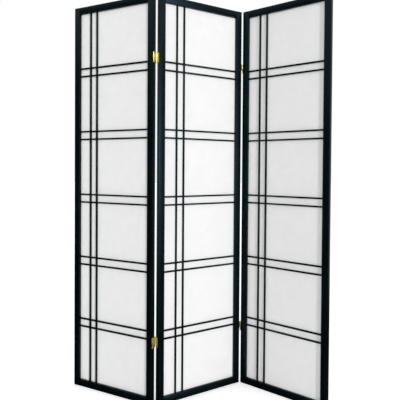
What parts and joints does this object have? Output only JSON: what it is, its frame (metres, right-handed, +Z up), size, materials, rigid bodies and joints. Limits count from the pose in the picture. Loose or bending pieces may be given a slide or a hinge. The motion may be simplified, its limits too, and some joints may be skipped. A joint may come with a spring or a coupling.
{
  "type": "shoji folding screen",
  "caption": "Free-standing zigzag room divider: black lacquered frames with slender paired lattice strips over white paper, on two-way brass hinges that fold forwards or back.",
  "frame": {"origin": "middle of the standing screen's footprint, on the floor", "axes": "+Z up; X along the row of panels, left to right as seen from the lattice side; -Y is the lattice side (front)"},
  "size_m": [1.1532, 0.2924, 1.784],
  "materials": {
    "lacquered_frame": "black satin lacquer over fine-grained softwood, slightly cool, the grain faintly telegraphing",
    "lacquered_lattice": "black satin lacquer on thin planed strips",
    "paper": "matt white fibre-reinforced paper, translucent, with scattered long pale fibres",
    "brass": "bright yellow brass plate, lightly brushed, worn smooth on the knuckles"
  },
  "bodies": {
    "middle_panel": {"middle_panel_left_stile": "lacquered_frame", "middle_panel_right_stile": "lacquered_frame", "middle_panel_bottom_rail": "lacquered_frame", "middle_panel_top_rail": "lacquered_frame", "middle_panel_lattice_spine": "lacquered_lattice", "middle_panel_crossbar_1_lower": "lacquered_lattice", "middle_panel_crossbar_1_upper": "lacquered_lattice", "middle_panel_crossbar_3_lower": "lacquered_lattice", "middle_panel_crossbar_3_upper": "lacquered_lattice", "middle_panel_crossbar_5_lower": "lacquered_lattice", "middle_panel_crossbar_5_upper": "lacquered_lattice", "middle_panel_paper": "paper", "left_fold_lower_back_leaf": "brass", "left_fold_upper_back_leaf": "brass", "right_fold_lower_front_leaf": "brass", "right_fold_upper_front_leaf": "brass"},
    "left_fold_plates": {"left_fold_lower_centre_plate": "brass", "left_fold_lower_front_pin": "brass", "left_fold_lower_back_pin": "brass", "left_fold_upper_centre_plate": "brass", "left_fold_upper_front_pin": "brass", "left_fold_upper_back_pin": "brass"},
    "left_panel": {"left_panel_left_stile": "lacquered_frame", "left_panel_right_stile": "lacquered_frame", "left_panel_bottom_rail": "lacquered_frame", "left_panel_top_rail": "lacquered_frame", "left_panel_lattice_spine": "lacquered_lattice", "left_panel_crossbar_1_lower": "lacquered_lattice", "left_panel_crossbar_1_upper": "lacquered_lattice", "left_panel_crossbar_3_lower": "lacquered_lattice", "left_panel_crossbar_3_upper": "lacquered_lattice", "left_panel_crossbar_5_lower": "lacquered_lattice", "left_panel_crossbar_5_upper": "lacquered_lattice", "left_panel_paper": "paper", "left_fold_lower_front_leaf": "brass", "left_fold_upper_front_leaf": "brass"},
    "right_fold_plates": {"right_fold_lower_centre_plate": "brass", "right_fold_lower_front_pin": "brass", "right_fold_lower_back_pin": "brass", "right_fold_upper_centre_plate": "brass", "right_fold_upper_front_pin": "brass", "right_fold_upper_back_pin": "brass"},
    "right_panel": {"right_panel_left_stile": "lacquered_frame", "right_panel_right_stile": "lacquered_frame", "right_panel_bottom_rail": "lacquered_frame", "right_panel_top_rail": "lacquered_frame", "right_panel_lattice_spine": "lacquered_lattice", "right_panel_crossbar_1_lower": "lacquered_lattice", "right_panel_crossbar_1_upper": "lacquered_lattice", "right_panel_crossbar_3_lower": "lacquered_lattice", "right_panel_crossbar_3_upper": "lacquered_lattice", "right_panel_crossbar_5_lower": "lacquered_lattice", "right_panel_crossbar_5_upper": "lacquered_lattice", "right_panel_paper": "paper", "right_fold_lower_back_leaf": "brass", "right_fold_upper_back_leaf": "brass"}
  },
  "joints": [
    {"name": "left_fold_back_pin", "type": "hinge", "parent": "middle_panel", "child": "left_fold_plates", "pos_m": [-0.1735, -0.08905, 0.892], "axis": [0, 0, 1], "range_deg": [-121.2, 58.8]},
    {"name": "left_fold_front_pin", "type": "hinge", "parent": "left_fold_plates", "child": "left_panel", "pos_m": [-0.1843, -0.11025, 0.892], "axis": [0, 0, 1], "range_deg": [0, 100]},
    {"name": "right_fold_front_pin", "type": "hinge", "parent": "middle_panel", "child": "right_fold_plates", "pos_m": [0.21648, 0.12475, 0.892], "axis": [0, 0, 1], "range_deg": [-110, 70]},
    {"name": "right_fold_back_pin", "type": "hinge", "parent": "right_fold_plates", "child": "right_panel", "pos_m": [0.2312, 0.14345, 0.892], "axis": [0, 0, 1], "range_deg": [0, 100]}
  ]
}
